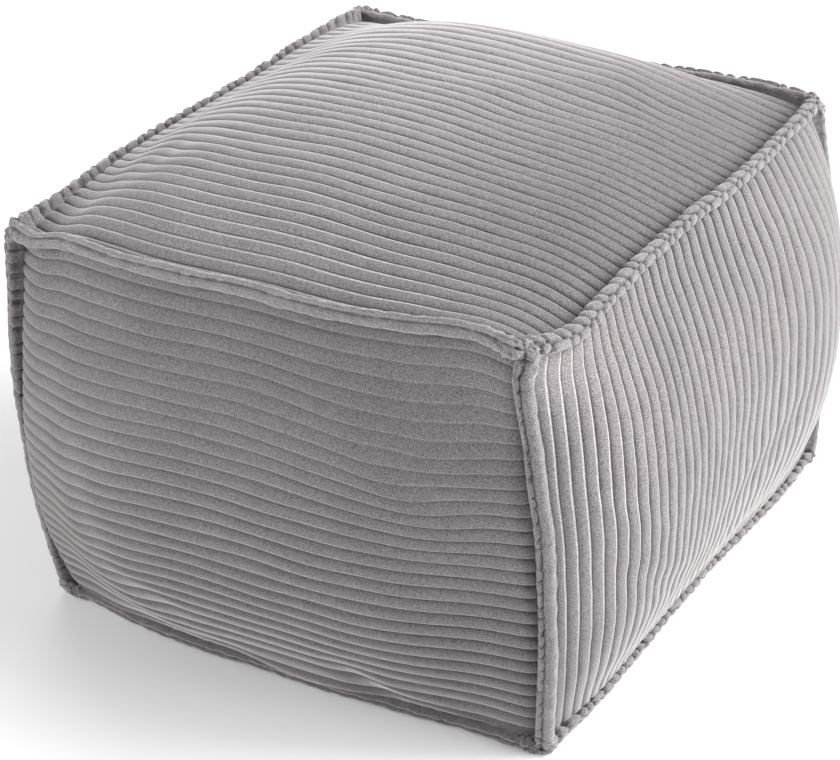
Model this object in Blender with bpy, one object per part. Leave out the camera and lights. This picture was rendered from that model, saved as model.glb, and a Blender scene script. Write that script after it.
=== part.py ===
"""Square pouf ottoman in wide-wale cord velvet, with its seams turned outwards.

Metres, +Z up. The origin lies on the floor under the middle of the pouf, and the front faces -Y.
The pouf is one filled body, swollen between its seams, with the wales of the cloth raised in its
faces, and twelve turned-out seams, each a double lip of cloth that stands on an edge of the body.
"""

import bmesh
import bpy
import numpy as np

MM = 0.001

# Driving sizes, between the corners where the turned-out seams meet.
WIDTH = 0.400
DEPTH = 0.409
CORNER_HEIGHT = 0.300
LOWER_SEAM_HEIGHT = 0.0056

# A turned-out seam: two folds of cloth side by side, with a groove between them.
LIP_REACH = 0.0095
FOLD_ROUND = 0.0025
LIP_THICKNESS = 0.0118
FLOOR_LIP_THICKNESS = 0.0098
GROOVE_DEPTH = 0.0032
SHOULDER = 0.76
SCALLOP_DEPTH = 0.0020
SCALLOP_TAPER = 0.3
CORNER_CLEARANCE = 0.0005
BASE_CLEARANCE = 0.0006
SIDE_CLEARANCE = 0.0011
POST_TOP_ROOM = 0.0068
POST_FOOT_ROOM = 0.0060

# The cloth: how far a wale stands up, and how many wales each panel has.
WALE_RELIEF = 0.0020
WALES_DEEP = 38
WALES_WIDE = 36
WALES_HIGH = 29
WALE_END_STRIP = 0.045
END_CROWDING = 0.85
PLAIN_SEAM_STEPS = 26
REAR_POST_STEPS = 20
DENSE_PLACES = 161

# The bottom is pressed flat on the floor inside this margin.
FLAT_MARGIN = 0.024
FLAT_SIDE_STEPS = 12

# Millimetres by which each corner sits off the true box: across, deep, up.
CORNER_DRIFT = {
    (-1, -1, 1): (-1.5, -1.8, -3.0),
    (1, -1, 1): (1.0, 1.8, 1.8),
    (1, 1, 1): (-1.8, -1.0, 1.0),
    (-1, 1, 1): (1.8, 1.8, 1.8),
    (-1, -1, -1): (-1.8, -2.7, 0.0),
    (1, -1, -1): (-1.0, 2.0, 0.0),
    (1, 1, -1): (-5.3, 1.0, 0.0),
    (-1, 1, -1): (0.0, 0.0, 0.0),
}

# How each seam strays from the straight line between its corners. Columns: place along the seam
# from -1 to 1, millimetres outwards, millimetres up (sideways on an upright seam).
STRAY = {
    "top_front": (
        (-1.0, 0, 0), (-0.9, 2.5, -2.5), (-0.8, 1, 0), (-0.65, 1, -1), (-0.45, 2.5, -2.5),
        (0.0, 1.5, -2), (0.4, 2, -2.5), (0.6, 0, 0), (0.9, -2, 3.5), (1.0, 0, 0),
    ),
    "top_right": (
        (-1.0, 0, 0), (-0.9, 7, -5.5), (-0.8, 10, -8), (-0.6, 7.5, -6), (-0.4, 4.5, -4),
        (0.5, 4.5, -4), (0.8, 2.5, -2.5), (1.0, 0, 0),
    ),
    "top_left": (
        (-1.0, 0, 0), (-0.75, 0.8, 3), (-0.5, 2.5, 5.5), (0.0, 2.5, 5), (0.25, 2, 4),
        (0.6, 3, 5), (0.9, 1.5, 3), (1.0, 0, 0),
    ),
    "top_back": ((-1.0, 0, 0), (-0.5, 1, -3), (0.0, 1, -3), (0.5, 1, 0), (0.8, 1, 1.5), (1.0, 0, 0)),
    "bottom_front": (
        (-1.0, 0, 0), (-0.85, 1, 0), (-0.65, 6.5, 0), (-0.45, 10, 0), (-0.1, 9, 0),
        (0.2, 7, 0), (0.5, 3.5, 0), (0.8, -1, 0), (1.0, 0, 0),
    ),
    "bottom_right": (
        (-1.0, 0, 0), (-0.85, 3, 0), (-0.65, 3.5, 0), (-0.4, 2, 0), (0.0, 0, 0), (0.3, 0, 0),
        (0.6, 2, 0), (0.85, 2, 0), (1.0, 0, 0),
    ),
    "bottom_left": ((-1.0, 0, 0), (-0.5, 4.5, 0), (0.0, 7, 0), (0.5, 5, 0), (1.0, 0, 0)),
    "bottom_back": ((-1.0, 0, 0), (-0.5, 4.5, 0), (0.0, 7, 0), (0.5, 5, 0), (1.0, 0, 0)),
    "post_front_left": (
        (-1.0, 0, 0), (-0.72, 6, 0), (-0.5, 9.5, 0), (-0.1, 11.5, 0), (0.1, 11.5, 0),
        (0.3, 10, 0), (0.5, 8, 0), (0.7, 4.5, 0), (0.86, 2.5, 0), (1.0, 0, 0),
    ),
    "post_front_right": (
        (-1.0, 0, 0), (-0.7, 6, 1), (-0.4, 10.5, 2.5), (-0.2, 11.5, 3), (0.2, 11.5, 2),
        (0.4, 10, 0), (0.6, 7, -1), (0.8, 3.5, -3.5), (0.92, 2, -4), (1.0, 0, 0),
    ),
    "post_back_right": ((-1.0, 0, 0), (-0.5, 9, 0), (0.0, 11.5, 0), (0.5, 8, 0), (1.0, 0, 0)),
    "post_back_left": ((-1.0, 0, 0), (-0.5, 9, 0), (0.0, 11.5, 0), (0.5, 8, 0), (1.0, 0, 0)),
}

# The panels. Columns: axis and side that it faces, swell in metres, how square the swell is along
# and across the panel's own two directions, how much fuller it is to the right and to the top,
# how much fuller away from its middle, how its wales crowd towards one side and towards the middle,
# and its seams: low, high, first, last.
PANELS = {
    "top": (2, 1, 0.0575, (4.0, 8.0), (-0.115, -0.035), (-0.55, -0.35), (0.104, 0.015),
            ("top_front", "top_back", "top_left", "top_right")),
    "front": (1, -1, 0.0470, (3.7, 1.7), (-0.065, -0.41), (0.20, 0.015), (-0.055, 0.065),
              ("bottom_front", "top_front", "post_front_left", "post_front_right")),
    "right": (0, 1, 0.0480, (4.4, 3.0), (-0.015, 0.27), (0.10, -0.10), (0.127, 0.0),
              ("bottom_right", "top_right", "post_front_right", "post_back_right")),
    "back": (1, 1, 0.0450, (5.0, 3.2), (0.05, -0.10), (0.0, 0.0), (0.0, 0.0),
             ("bottom_back", "top_back", "post_back_left", "post_back_right")),
    "left": (0, -1, 0.0450, (5.0, 3.2), (0.0, -0.05), (0.0, 0.0), (0.0, 0.0),
             ("bottom_left", "top_left", "post_front_left", "post_back_left")),
}

# Wales on each panel: how many, and whether they run along the panel's first direction.
WALES = {
    "top": (WALES_DEEP, True),
    "front": (WALES_HIGH, True),
    "right": (WALES_DEEP, False),
    "back": (WALES_WIDE, False),
    "left": (WALES_DEEP, False),
}
STEPS_ALONG_WALE = {"top": 10, "front": 10, "right": 8, "back": 8, "left": 8}

# How far each top seam stands up for each unit that it stands out, and the millimetres by which
# a lip is lower in the middle of its seam than at the corners.
UPRIGHT = {"top_front": 1.0, "top_right": 1.0, "top_left": 2.4, "top_back": 1.8}
LIP_DROP = {"top_left": 3.8}

# Wales that cross each seam, and which of its two folds they scallop: inner or upper, then outer.
CROSSING_WALES = {
    "top_front": (0, (False, False)),
    "top_right": (WALES_DEEP, (True, True)),
    "top_left": (WALES_DEEP, (True, True)),
    "top_back": (WALES_WIDE, (False, True)),
    "bottom_front": (0, (False, False)),
    "bottom_right": (WALES_DEEP, (True, True)),
    "bottom_left": (WALES_DEEP, (True, True)),
    "bottom_back": (WALES_WIDE, (True, False)),
    "post_front_left": (WALES_HIGH, (True, False)),
    "post_front_right": (WALES_HIGH, (True, False)),
    "post_back_right": (0, (False, False)),
    "post_back_left": (0, (False, False)),
}

CLOTH_GREY = (0.32, 0.305, 0.31, 1.0)
SEAM_GREY = (0.29, 0.278, 0.283, 1.0)


def unit(vector):
    vector = np.asarray(vector, float)
    return vector / np.linalg.norm(vector, axis=-1, keepdims=True)


def mix(low, high, place):
    """The value between low and high at a place from -1 to 1."""
    return low * (1 - place) / 2 + high * (1 + place) / 2


def smooth_through(rows, column, place):
    """A smooth curve through one column of a table, read at places from -1 to 1."""
    x = np.array([row[0] for row in rows], float)
    y = np.array([row[column] for row in rows], float)
    slope = np.gradient(y, x)
    place = np.clip(np.asarray(place, float), -1, 1)
    i = np.clip(np.searchsorted(x, place, side="right") - 1, 0, len(x) - 2)
    width = x[i + 1] - x[i]
    s = (place - x[i]) / width
    start = y[i] * (1 + 2 * s) * (1 - s) ** 2 + slope[i] * width * s * (1 - s) ** 2
    end = y[i + 1] * s * s * (3 - 2 * s) + slope[i + 1] * width * s * s * (s - 1)
    return start + end


def corner_tip(side_x, side_y, side_z):
    """Where three turned-out seams meet, at the middle of their edges."""
    height = CORNER_HEIGHT if side_z > 0 else LOWER_SEAM_HEIGHT
    drift = MM * np.array(CORNER_DRIFT[(side_x, side_y, side_z)])
    return np.array([side_x * WIDTH / 2, side_y * DEPTH / 2, height]) + drift


def corner_root(side_x, side_y, side_z):
    """The same corner on the body, under the lips."""
    lean = np.sqrt(0.5)
    rise = lean if side_z > 0 else 0.0
    return corner_tip(side_x, side_y, side_z) - LIP_REACH * np.array([side_x * lean, side_y * lean, rise])


class Seam:
    """One seam: its two corners, and the directions in which it strays and its lip points."""

    def __init__(self, name, first, last, outwards, sideways, lip):
        self.name = name
        self.first = first
        self.last = last
        self.outwards = unit(outwards)
        self.sideways = unit(sideways)
        self.lip = unit(lip)
        self.runs_along = int(np.argmax(np.abs(np.subtract(last, first))))
        self.wales, self.scalloped = CROSSING_WALES[name]
        if self.wales:
            self.steps = 2 * self.wales
        elif self.runs_along == 2:
            self.steps = REAR_POST_STEPS
        else:
            self.steps = PLAIN_SEAM_STEPS

    def stations(self):
        return np.linspace(-1, 1, self.steps + 1)

    def root(self, place):
        """Points of the sewn line on the body."""
        place = np.asarray(place, float)[..., None]
        stray_out = smooth_through(STRAY[self.name], 1, place)
        stray_side = smooth_through(STRAY[self.name], 2, place)
        straight = mix(corner_root(*self.first), corner_root(*self.last), place)
        return straight + MM * (stray_out * self.outwards + stray_side * self.sideways)


def make_seams():
    found = {}
    for level, side_z in (("top", 1), ("bottom", -1)):
        for face, axis, side in (("front", 1, -1), ("back", 1, 1), ("right", 0, 1), ("left", 0, -1)):
            out = np.zeros(3)
            out[axis] = side
            ends = [[0, 0, side_z], [0, 0, side_z]]
            for end, along in zip(ends, (-1, 1)):
                end[axis] = side
                end[1 - axis] = along
            name = f"{level}_{face}"
            lip = out + (0, 0, UPRIGHT[name]) if side_z > 0 else out
            found[name] = Seam(name, tuple(ends[0]), tuple(ends[1]), out, (0, 0, 1), lip)
    for depth, side_y in (("front", -1), ("back", 1)):
        for flank, side_x in (("left", -1), ("right", 1)):
            out = np.array([side_x, side_y, 0.0])
            name = f"post_{depth}_{flank}"
            sideways = np.array([-side_y, side_x, 0.0])
            found[name] = Seam(name, (side_x, side_y, -1), (side_x, side_y, 1), out, sideways, out)
    return found


SEAMS = make_seams()


def panel_surface(name, u, v):
    """Points of a swollen panel at its own places u and v, each from -1 to 1."""
    axis, side, swell, power, fuller, rounder, _, seams = PANELS[name]
    low, high, first, last = (SEAMS[seam] for seam in seams)
    u, v = np.broadcast_arrays(np.asarray(u, float), np.asarray(v, float))
    across, up = u[..., None], v[..., None]
    between = mix(low.root(u), high.root(u), up) + mix(first.root(v), last.root(v), across)
    corners = mix(
        mix(low.root(-1.0), low.root(1.0), across), mix(high.root(-1.0), high.root(1.0), across), up
    )
    height = (1 - np.abs(across) ** power[0]) * (1 - np.abs(up) ** power[1])
    height = height * (1 + fuller[0] * across + fuller[1] * up)
    height = height * (1 + rounder[0] * across**2 + rounder[1] * up**2)
    swollen = np.zeros(3)
    swollen[axis] = side * swell
    return between - corners + height * swollen


def panel_normal(name, u, v):
    """Directions straight out of a panel."""
    step = 0.002
    along_u = panel_surface(name, u + step, v) - panel_surface(name, u - step, v)
    along_v = panel_surface(name, u, v + step) - panel_surface(name, u, v - step)
    normal = unit(np.cross(along_u, along_v))
    axis, side = PANELS[name][:2]
    return normal * side * np.sign(normal[..., axis : axis + 1])


def wale_lines(name, along, wales):
    """Where wales lie across a panel, from -1 to 1, at places along it. They lie evenly over the
    swollen cloth, but for where they crowd away from the seams that they run into."""
    count, runs_along_u = WALES[name]
    crowd = PANELS[name][6]
    dense = np.linspace(-1, 1, DENSE_PLACES)
    if runs_along_u:
        cloth = panel_surface(name, along[:, None], dense[None, :])
    else:
        cloth = panel_surface(name, dense[None, :], along[:, None])
    lengths = np.cumsum(np.linalg.norm(np.diff(cloth, axis=1), axis=2), axis=1)
    even = np.concatenate([np.zeros((len(along), 1)), lengths / lengths[:, -1:]], axis=1)
    side = 2 * even - 1
    shift = (1 - side**2) * (crowd[0] + crowd[1] * side) * (1 - along**4)[:, None]
    found = count * (even + shift)
    return np.array([np.interp(wales, found[k], dense) for k in range(len(along))])


def panel_cloth(name, run, half_wales):
    """Points of a panel with its wales raised: a crest in the middle of each wale."""
    runs_along_u = WALES[name][1]
    across = wale_lines(name, run, half_wales / 2)
    crest = (half_wales % 2 == 1)[None, :, None]
    if runs_along_u:
        u, v = run[:, None], across
    else:
        u, v = across.T, run[None, :]
        crest = crest.transpose(1, 0, 2)
    return panel_surface(name, u, v) + WALE_RELIEF * crest * panel_normal(name, u, v)


def stitch(mesh, outer, outer_places, inner, inner_places):
    """Fills the strip between two rows of points that may differ in number."""
    i = j = 0
    while i < len(outer) - 1 or j < len(inner) - 1:
        outer_next = outer_places[i + 1] if i < len(outer) - 1 else np.inf
        inner_next = inner_places[j + 1] if j < len(inner) - 1 else np.inf
        if outer_next <= inner_next:
            mesh.faces.new((outer[i], outer[i + 1], inner[j]))
            i += 1
        else:
            mesh.faces.new((outer[i], inner[j + 1], inner[j]))
            j += 1


def wale_run(steps):
    """Places along a wale, closer together near its ends, where the panel turns into the seam."""
    even = np.linspace(-1, 1, steps + 1)
    turn = END_CROWDING * np.pi / 2
    return (1 - WALE_END_STRIP) * np.sin(turn * even) / np.sin(turn)


def add_panel(mesh, name, seam_points):
    """A grid over the panel's wales, stitched to the points of its four seams."""
    count, runs_along_u = WALES[name]
    half_wales = np.arange(1, 2 * count)
    even = half_wales / count - 1
    run = wale_run(STEPS_ALONG_WALE[name])
    places_u, places_v = (run, even) if runs_along_u else (even, run)
    grid = bmesh.ops.create_grid(mesh, x_segments=len(places_u) - 1, y_segments=len(places_v) - 1, size=1)
    rows = {}
    for point in grid["verts"]:
        column = round((point.co.x + 1) / 2 * (len(places_u) - 1))
        row = round((point.co.y + 1) / 2 * (len(places_v) - 1))
        rows[column, row] = point
    cloth = panel_cloth(name, run, half_wales)
    for (column, row), point in rows.items():
        point.co = cloth[column, row]
    low, high, first, last = PANELS[name][7]
    end_u, end_v = len(places_u) - 1, len(places_v) - 1
    edges = (
        (low, [rows[k, 0] for k in range(end_u + 1)], places_u),
        (high, [rows[k, end_v] for k in range(end_u + 1)], places_u),
        (first, [rows[0, k] for k in range(end_v + 1)], places_v),
        (last, [rows[end_u, k] for k in range(end_v + 1)], places_v),
    )
    for seam, inner, inner_places in edges:
        stitch(mesh, seam_points[seam], SEAMS[seam].stations(), inner, inner_places)


def add_bottom(mesh, seam_points):
    """The bottom panel, pressed flat on the floor inside its margin."""
    places = np.linspace(-1, 1, FLAT_SIDE_STEPS + 1)
    half_x = corner_root(1, 1, -1)[0] - FLAT_MARGIN
    half_y = corner_root(1, 1, -1)[1] - FLAT_MARGIN
    corners = {}

    def floor_point(x, y):
        key = (round(x, 6), round(y, 6))
        if key not in corners:
            corners[key] = mesh.verts.new((x, y, 0.0))
        return corners[key]

    sides = {
        "bottom_front": [floor_point(half_x * place, -half_y) for place in places],
        "bottom_right": [floor_point(half_x, half_y * place) for place in places],
        "bottom_back": [floor_point(half_x * place, half_y) for place in places],
        "bottom_left": [floor_point(-half_x, half_y * place) for place in places],
    }
    for seam, inner in sides.items():
        stitch(mesh, seam_points[seam], SEAMS[seam].stations(), inner, places)
    loop = (
        sides["bottom_front"][:-1]
        + sides["bottom_right"][:-1]
        + sides["bottom_back"][:0:-1]
        + sides["bottom_left"][:0:-1]
    )
    mesh.faces.new(loop)


def make_body():
    """The filled body: five swollen panels and the flat bottom, closed along the twelve seams."""
    mesh = bmesh.new()
    corners = {}
    seam_points = {}
    for name, seam in SEAMS.items():
        points = [None] * (seam.steps + 1)
        for place, corner in ((0, seam.first), (-1, seam.last)):
            if corner not in corners:
                corners[corner] = mesh.verts.new(corner_root(*corner))
            points[place] = corners[corner]
        root = seam.root(seam.stations())
        for k in range(1, seam.steps):
            points[k] = mesh.verts.new(root[k])
        seam_points[name] = points
    for name in PANELS:
        add_panel(mesh, name, seam_points)
    add_bottom(mesh, seam_points)
    bmesh.ops.recalc_face_normals(mesh, faces=mesh.faces)
    return mesh


def touching_panels(seam):
    """The panels on the two sides of a seam, each with the edge of it that is sewn there."""
    found = []
    for name, columns in PANELS.items():
        for edge, seam_name in zip(("low", "high", "first", "last"), columns[7]):
            if seam_name == seam.name:
                found.append((name, edge))
    return found


def near_seam(name, edge, place):
    """Points of a panel's cloth one row in from its seam."""
    count, runs_along_u = WALES[name]
    starts = edge in ("low", "first")
    if (edge in ("low", "high")) == runs_along_u:
        first_crest = 0.5 if starts else count - 0.5
        inset = wale_lines(name, place, first_crest)
    else:
        inset = np.full_like(place, (-1 if starts else 1) * (1 - WALE_END_STRIP))
    u, v = (place, inset) if edge in ("low", "high") else (inset, place)
    return panel_surface(name, u, v) + WALE_RELIEF * panel_normal(name, u, v)


def base_heights(seam, place, root, across, half):
    """How far up the lip's two sides must start to clear the swollen panels beside them."""
    heights = [np.full(len(place), BASE_CLEARANCE), np.full(len(place), BASE_CLEARANCE)]
    for name, edge in touching_panels(seam):
        away = near_seam(name, edge, place) - root
        sideways = np.einsum("ij,ij->i", away, across)
        outwards = away @ seam.lip
        reach = outwards * half / np.maximum(np.abs(sideways), half / 2) + SIDE_CLEARANCE
        fold = 0 if sideways.mean() > 0 else 1
        heights[fold] = np.maximum(heights[fold], reach)
    return heights


def mitre(seam, points, corner, ring):
    """Moves an end ring along the seam into the upright diagonal plane of its corner."""
    axis = seam.runs_along
    out_axis = 1 - axis
    root = corner_root(*corner)
    outward = (points[ring][:, out_axis] - root[out_axis]) * corner[out_axis]
    points[ring][:, axis] = root[axis] + corner[axis] * (outward - CORNER_CLEARANCE)


def lip_rings(seam):
    """The lip's sections: two folds with a groove between them, scalloped where wales cross."""
    place = seam.stations()
    if seam.runs_along == 2:
        length = corner_root(*seam.last)[2] - corner_root(*seam.first)[2]
        foot = 2 * POST_FOOT_ROOM / length - 1
        head = 1 - 2 * POST_TOP_ROOM / length
        inside = place[(place > foot + 0.5 / seam.steps) & (place < head - 0.5 / seam.steps)]
        place = np.concatenate(([foot], inside, [head]))
    root = seam.root(place)
    along = unit(np.gradient(root, axis=0))
    across = unit(np.cross(along, seam.lip))
    if touching_side(seam, place, root, across) < 0:
        across = -across
    on_floor = seam.name.startswith("bottom")
    half = (FLOOR_LIP_THICKNESS if on_floor else LIP_THICKNESS) / 2
    top = LIP_REACH + FOLD_ROUND - MM * LIP_DROP.get(seam.name, 0.0) * (1 - place**6)
    base = base_heights(seam, place, root, across, half)
    half_wales = np.round((place + 1) * seam.wales).astype(int)
    rings = np.empty((len(place), 5, 3))
    shrink = []
    for fold, scalloped in enumerate(seam.scalloped):
        valley = (half_wales + fold) % 2 == 0
        shrink.append(np.where(valley & scalloped, SCALLOP_DEPTH, 0.0))
    sections = (
        (half, base[0]),
        (half * SHOULDER - shrink[0] * SCALLOP_TAPER, top - shrink[0]),
        (0.0, top - GROOVE_DEPTH),
        (-half * SHOULDER + shrink[1] * SCALLOP_TAPER, top - shrink[1]),
        (-half, base[1]),
    )
    for k, (sideways, outwards) in enumerate(sections):
        outwards = np.minimum(outwards, top - MM)
        sideways = np.broadcast_to(sideways, len(place))
        rings[:, k] = root + sideways[:, None] * across + outwards[:, None] * seam.lip
    if seam.runs_along != 2:
        mitre(seam, rings, seam.first, 0)
        mitre(seam, rings, seam.last, -1)
    return rings


def touching_side(seam, place, root, across):
    """Positive where across points to the first panel beside the seam."""
    name, edge = touching_panels(seam)[0]
    away = near_seam(name, edge, place) - root
    return float(np.einsum("ij,ij->i", away, across).mean())


def make_lip(seam):
    """Lofts the sections into one closed lip."""
    mesh = bmesh.new()
    rings = [[mesh.verts.new(point) for point in ring] for ring in lip_rings(seam)]
    for ring, following in zip(rings, rings[1:]):
        for k in range(len(ring)):
            nxt = (k + 1) % len(ring)
            mesh.faces.new((ring[k], ring[nxt], following[nxt], following[k]))
    mesh.faces.new(rings[0])
    mesh.faces.new(rings[-1])
    bmesh.ops.recalc_face_normals(mesh, faces=mesh.faces)
    return mesh


def cloth_material(name, colour):
    material = bpy.data.materials.new(name)
    material.use_nodes = True
    shader = material.node_tree.nodes["Principled BSDF"]
    shader.inputs["Base Color"].default_value = colour
    shader.inputs["Roughness"].default_value = 0.95
    shader.inputs["Metallic"].default_value = 0.0
    material.diffuse_color = colour
    return material


def add_object(collection, name, mesh, material):
    data = bpy.data.meshes.new(name)
    mesh.to_mesh(data)
    mesh.free()
    data.materials.append(material)
    data.shade_smooth()
    data.set_sharp_from_angle(angle=np.radians(60))
    made = bpy.data.objects.new(name, data)
    collection.objects.link(made)
    return made


def main():
    for old in list(bpy.data.objects):
        bpy.data.objects.remove(old, do_unlink=True)
    pouf = bpy.data.collections.new("pouf_ottoman")
    bpy.context.scene.collection.children.link(pouf)
    middle = bpy.data.objects.new("pouf_middle", None)
    pouf.objects.link(middle)
    cloth = cloth_material("cord_velvet", CLOTH_GREY)
    folds = cloth_material("cord_velvet_seam", SEAM_GREY)
    made = [add_object(pouf, "filled_body", make_body(), cloth)]
    for name, seam in SEAMS.items():
        made.append(add_object(pouf, f"seam_{name}", make_lip(seam), folds))
    points = np.array([point.co for piece in made for point in piece.data.vertices])
    centre = (points.min(axis=0) + points.max(axis=0)) / 2
    middle.location = (-centre[0], -centre[1], 0.0)
    for piece in made:
        piece.parent = middle


main()
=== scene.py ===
"""The looks of a square pouf ottoman in grey cord velvet, its seams turned outwards.

Metres, +Z up, the front facing -Y. Every wale of the cloth and every fold of the seams is geometry.
The cloth is modelled from smooth surfaces between the twelve seams.
"""

import bpy
import numpy as np
from mathutils import Matrix

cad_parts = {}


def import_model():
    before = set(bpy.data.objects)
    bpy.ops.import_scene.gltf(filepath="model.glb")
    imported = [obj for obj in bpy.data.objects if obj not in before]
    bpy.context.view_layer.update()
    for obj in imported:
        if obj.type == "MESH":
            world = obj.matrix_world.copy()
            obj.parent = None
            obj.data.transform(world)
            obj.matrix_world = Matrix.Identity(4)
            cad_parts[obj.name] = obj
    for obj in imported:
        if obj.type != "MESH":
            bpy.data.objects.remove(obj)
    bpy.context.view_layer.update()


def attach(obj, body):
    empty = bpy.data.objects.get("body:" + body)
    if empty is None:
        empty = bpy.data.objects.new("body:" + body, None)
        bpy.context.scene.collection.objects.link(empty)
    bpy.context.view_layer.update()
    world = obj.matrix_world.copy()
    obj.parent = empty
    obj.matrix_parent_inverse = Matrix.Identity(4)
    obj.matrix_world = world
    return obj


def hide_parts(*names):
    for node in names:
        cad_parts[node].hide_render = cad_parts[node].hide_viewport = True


MM = 0.001

# Where the middle of the sewn corners lies from the origin.
MIDDLE = np.array([-0.00141, 0.00276, 0.0])

WIDTH = 0.400
DEPTH = 0.409
CORNER_HEIGHT = 0.300
LOWER_SEAM_HEIGHT = 0.0056
LIP_REACH = 0.0095

WALE_RELIEF = 0.0026
WALES_DEEP = 38
WALES_WIDE = 36
WALES_HIGH = 29

# Millimetres by which each corner sits off the true box: across, deep, up.
CORNER_DRIFT = {
    (-1, -1, 1): (-1.5, -1.8, -3.0),
    (1, -1, 1): (1.0, 1.8, 1.8),
    (1, 1, 1): (-1.8, -1.0, 1.0),
    (-1, 1, 1): (1.8, 1.8, 1.8),
    (-1, -1, -1): (-1.8, -2.7, 0.0),
    (1, -1, -1): (-1.0, 2.0, 0.0),
    (1, 1, -1): (-5.3, 1.0, 0.0),
    (-1, 1, -1): (0.0, 0.0, 0.0),
}

# How each seam strays from the straight line between its corners. Columns: place along the seam
# from -1 to 1, millimetres outwards, millimetres up (sideways on an upright seam).
STRAY = {
    "top_front": (
        (-1.0, 0, 0), (-0.9, 2.5, -2.5), (-0.8, 1, 0), (-0.65, 1, -1), (-0.45, 2.5, -2.5),
        (0.0, 1.5, -2), (0.4, 2, -2.5), (0.6, 0, 0), (0.9, -2, 3.5), (1.0, 0, 0),
    ),
    "top_right": (
        (-1.0, 0, 0), (-0.9, 7, -5.5), (-0.8, 10, -8), (-0.6, 7.5, -6), (-0.4, 4.5, -4),
        (0.5, 4.5, -4), (0.8, 2.5, -2.5), (1.0, 0, 0),
    ),
    "top_left": (
        (-1.0, 0, 0), (-0.75, 0.8, 3), (-0.5, 2.5, 5.5), (0.0, 2.5, 5), (0.25, 2, 4),
        (0.6, 3, 5), (0.9, 1.5, 3), (1.0, 0, 0),
    ),
    "top_back": ((-1.0, 0, 0), (-0.5, 1, -3), (0.0, 1, -3), (0.5, 1, 0), (0.8, 1, 1.5), (1.0, 0, 0)),
    "bottom_front": (
        (-1.0, 0, 0), (-0.85, 1, 0), (-0.65, 6.5, 0), (-0.45, 10, 0), (-0.1, 9, 0),
        (0.2, 7, 0), (0.5, 3.5, 0), (0.8, -1, 0), (1.0, 0, 0),
    ),
    "bottom_right": (
        (-1.0, 0, 0), (-0.85, 3, 0), (-0.65, 3.5, 0), (-0.4, 2, 0), (0.0, 0, 0), (0.3, 0, 0),
        (0.6, 2, 0), (0.85, 2, 0), (1.0, 0, 0),
    ),
    "bottom_left": ((-1.0, 0, 0), (-0.5, 4.5, 0), (0.0, 7, 0), (0.5, 5, 0), (1.0, 0, 0)),
    "bottom_back": ((-1.0, 0, 0), (-0.5, 4.5, 0), (0.0, 7, 0), (0.5, 5, 0), (1.0, 0, 0)),
    "post_front_left": (
        (-1.0, 0, 0), (-0.72, 6, 0), (-0.5, 9.5, 0), (-0.1, 11.5, 0), (0.1, 11.5, 0),
        (0.3, 10, 0), (0.5, 8, 0), (0.7, 4.5, 0), (0.86, 2.5, 0), (1.0, 0, 0),
    ),
    "post_front_right": (
        (-1.0, 0, 0), (-0.7, 6, 1), (-0.4, 10.5, 2.5), (-0.2, 11.5, 3), (0.2, 11.5, 2),
        (0.4, 10, 0), (0.6, 7, -1), (0.8, 3.5, -3.5), (0.92, 2, -4), (1.0, 0, 0),
    ),
    "post_back_right": ((-1.0, 0, 0), (-0.5, 9, 0), (0.0, 11.5, 0), (0.5, 8, 0), (1.0, 0, 0)),
    "post_back_left": ((-1.0, 0, 0), (-0.5, 9, 0), (0.0, 11.5, 0), (0.5, 8, 0), (1.0, 0, 0)),
}

# The panels. Columns: axis and side that it faces, swell in metres, how square the swell is along
# and across the panel's own two directions, how much fuller it is to the right and to the top,
# how much fuller away from its middle, how its wales crowd towards one side and towards the middle and
# how late along them that fades out, and its seams: low, high, first, last.
PANELS = {
    "top": (2, 1, 0.0575, (4.0, 8.0), (-0.115, -0.035), (-0.55, -0.35), (0.104, 0.015, 2.6),
            ("top_front", "top_back", "top_left", "top_right")),
    "front": (1, -1, 0.0470, (3.7, 1.7), (-0.065, -0.41), (0.20, 0.015), (-0.055, 0.065, 4.0),
              ("bottom_front", "top_front", "post_front_left", "post_front_right")),
    "right": (0, 1, 0.0480, (4.4, 3.0), (-0.015, 0.27), (0.10, -0.10), (0.112, 0.0, 2.6),
              ("bottom_right", "top_right", "post_front_right", "post_back_right")),
    "back": (1, 1, 0.0450, (5.0, 3.2), (0.05, -0.10), (0.0, 0.0), (0.0, 0.0, 4.0),
             ("bottom_back", "top_back", "post_back_left", "post_back_right")),
    "left": (0, -1, 0.0450, (5.0, 3.2), (0.0, -0.05), (0.0, 0.0), (0.0, 0.0, 4.0),
             ("bottom_left", "top_left", "post_front_left", "post_back_left")),
    "bottom": (2, -1, 0.0054, (14.0, 14.0), (0.0, 0.0), (0.0, 0.0), (0.0, 0.0, 4.0),
               ("bottom_front", "bottom_back", "bottom_left", "bottom_right")),
}

# Columns: how many wales, whether they run along the panel's first direction, and the points
# modelled along each.
WALES = {
    "top": (WALES_DEEP, True, 110),
    "front": (WALES_HIGH, True, 120),
    "right": (WALES_DEEP, False, 100),
    "back": (WALES_WIDE, False, 80),
    "left": (WALES_DEEP, False, 80),
    "bottom": (WALES_DEEP, True, 70),
}

# Where the wales hang lower than they would. Columns: the place on the panel, half its width both
# ways, and how far they drop, in wales.
DROPS = {"front": ((-0.78, -0.20, 0.30, 1.2, 1.1), (0.80, 0.45, 0.40, 0.40, 1.6))}

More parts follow.
